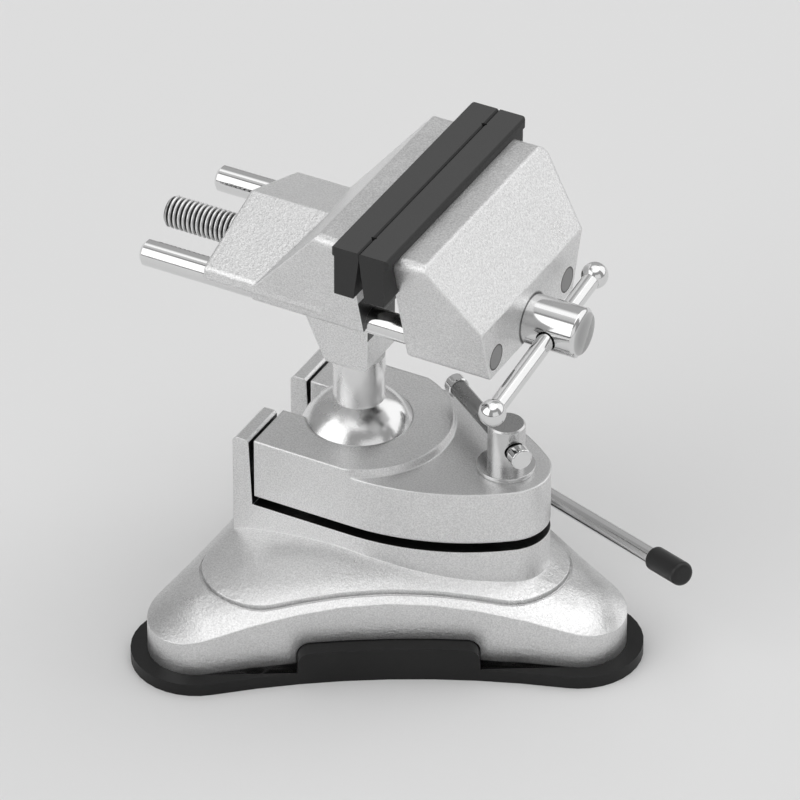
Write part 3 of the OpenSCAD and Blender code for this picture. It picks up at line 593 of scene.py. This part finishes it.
def makeLeadScrew(values):
    mesh = makeThread(values)
    head = cutHead(values["cutAt"])
    threadFaces = len(mesh.faces)
    mesh.from_mesh(head)
    bpy.data.meshes.remove(head)
    mesh.faces.ensure_lookup_table()
    for face in mesh.faces[threadFaces:]:
        face.material_index = barrelSlot
    data = bpy.data.meshes.new("leadScrewThreaded")
    mesh.to_mesh(data)
    for metal in screwMetals:
        data.materials.append(metal)
    piece = bpy.data.objects.new("leadScrewThreaded", data)
    scene.collection.objects.link(piece)
    return piece


leadScrew = makeLeadScrew(screwThread)
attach(leadScrew, "spindle")
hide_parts("lead_screw")
print("stage: lead screw threaded")

# radius in mm, how far off it a corner may be, and cosines that tell the round faces from the flat ones
roundBarrel = {"radius": 6.1, "slack": 0.03, "alongAxis": 0.3, "outward": 0.95}


def smoothByAngle(piece, degrees):
    data = piece.data
    for polygon in data.polygons:
        polygon.use_smooth = True
    data.set_sharp_from_angle(angle=math.radians(degrees))


def roundNormals(piece, values):
    # exact round normals on the barrel, which the long triangles round its hole would spoil
    data = piece.data
    normals = [(0, 0, 0)]*len(data.loops)
    for polygon in data.polygons:
        if polygon.material_index != barrelSlot or abs(polygon.normal.x) > values["alongAxis"]:
            continue
        for k in polygon.loop_indices:
            place = data.vertices[data.loops[k].vertex_index].co
            out = Vector((0, place.y, place.z - headAxis*mm))
            onBarrel = abs(out.length - values["radius"]*mm) < values["slack"]*mm
            if onBarrel and out.normalized().dot(polygon.normal) > values["outward"]:
                normals[k] = out.normalized()
    data.normals_split_custom_set(normals)


smoothByAngle(leadScrew, screwThread["sharpAngle"])
roundNormals(leadScrew, roundBarrel)
print("stage: lead screw shaded")

studio = {"floorTone": 0.80, "floorRough": 0.9, "floorReach": 6.0, "airTone": 0.33}

# parts of the sky: azimuth and its half width, low and high elevation and soft edge in degrees, and the
# radiance that each adds; a half width of 180 goes all round and a high elevation of 90 up to the zenith
skyWindows = {
    "overhead": (0, 180, 64, 90, 12, 0.9),
    "overFront": (345, 80, 62, 90, 12, 0.35),
    "rearAir": (118, 30, 16, 54, 12, 0.12),
    "rightBack": (50, 26, 9, 62, 7, 0.85),
    "frontLeft": (237, 28, 7, 52, 4, 1.2),
    "frontLeftFrame": (207, 26, 57, 68, 4, -0.6),
    "frontLeftFoot": (240, 60, -2, 3, 2, -0.3),
    "frontRight": (325, 22, 4, 32, 5, 0.5),
}


def makeFloor(values):
    data = bpy.data.meshes.new("floor")
    reach = values["floorReach"]
    corners = [(-reach, -reach, 0), (reach, -reach, 0), (reach, reach, 0), (-reach, reach, 0)]
    data.from_pydata(corners, [], [(0, 1, 2, 3)])
    floor = bpy.data.objects.new("floor", data)
    scene.collection.objects.link(floor)
    material, tree, shader = newMaterial("floorPaper")
    shader.inputs["Base Color"].default_value = grey(values["floorTone"])
    shader.inputs["Roughness"].default_value = values["floorRough"]
    data.materials.append(material)


def makeWorld(values, windows):
    world = bpy.data.worlds.new("studioAir")
    scene.world = world
    world.use_nodes = True
    tree = world.node_tree
    tree.nodes.clear()
    output = addNode(tree, "ShaderNodeOutputWorld", (400, 0))
    light = addNode(tree, "ShaderNodeBackground", (200, 0))
    way = addNode(tree, "ShaderNodeTexCoord", (-800, 0)).outputs["Generated"]
    flat = calcVector(tree, "MULTIPLY", way, (1.0, 1.0, 0.0), place=(-700, 200))
    compass = calcVector(tree, "NORMALIZE", flat, place=(-600, 200))
    parts = addNode(tree, "ShaderNodeSeparateXYZ", (-700, -200))
    wire(tree, way, parts.inputs[0])
    height = parts.outputs["Z"]

    def fade(source, start, full):
        return remap(tree, source, start, full, place=(-400, 0), interpolation_type="SMOOTHSTEP")

    def both(first, second):
        return calc(tree, "MULTIPLY", first, second, place=(-300, 0))

    total = values["airTone"]
    for *angles, radiance in windows.values():
        azimuth, half, low, high, soft = [math.radians(angle) for angle in angles]
        window = fade(height, math.sin(low - soft), math.sin(low))
        if high < math.pi/2:
            window = both(window, fade(height, math.sin(high + soft), math.sin(high)))
        if half < math.pi:
            middle = (math.cos(azimuth), math.sin(azimuth), 0.0)
            toward = calcVector(tree, "DOT_PRODUCT", compass, middle, place=(-500, 0))
            window = both(window, fade(toward, math.cos(half + soft), math.cos(half)))
        total = calc(tree, "MULTIPLY_ADD", window, radiance, total, place=(-200, 0))
    wire(tree, total, light.inputs["Color"])
    wire(tree, light.outputs[0], output.inputs["Surface"])


# angles in degrees, lengths in metres, the film in mm; centre is at the pixel centreAt of a square frame
photoView = {
    "azimuth": 28.18, "elevation": 34.71, "distance": 1.667, "pixelsPerMetre": 4198.0,
    "centre": (0, 0, 0.06), "centreAt": (359.1, 376.5), "frame": 800.0,
    "film": 36.0, "nearest": 0.05, "farthest": 30.0,
}


def makeCamera(values):
    a, e = math.radians(values["azimuth"]), math.radians(values["elevation"])
    right = Vector((math.cos(a), math.sin(a), 0))
    up = Vector((-math.sin(a)*math.sin(e), math.cos(a)*math.sin(e), math.cos(e)))
    back = Vector((math.sin(a)*math.cos(e), -math.cos(a)*math.cos(e), math.sin(e)))
    size = values["frame"]
    data = bpy.data.cameras.new("photoCamera")
    data.sensor_width = values["film"]
    data.lens = values["pixelsPerMetre"]*values["distance"]/size*values["film"]
    data.clip_start, data.clip_end = values["nearest"], values["farthest"]
    data.shift_x = (size/2 - values["centreAt"][0])/size
    data.shift_y = (values["centreAt"][1] - size/2)/size
    camera = bpy.data.objects.new("photoCamera", data)
    camera.matrix_world = Matrix((
        (right.x, up.x, back.x, 0), (right.y, up.y, back.y, 0), (right.z, up.z, back.z, 0), (0, 0, 0, 1)))
    camera.location = Vector(values["centre"]) + back*values["distance"]
    scene.collection.objects.link(camera)
    scene.camera = camera


makeFloor(studio)
makeWorld(studio, skyWindows)
makeCamera(photoView)
scene.view_settings.view_transform = "Standard"
print("stage: studio and camera")
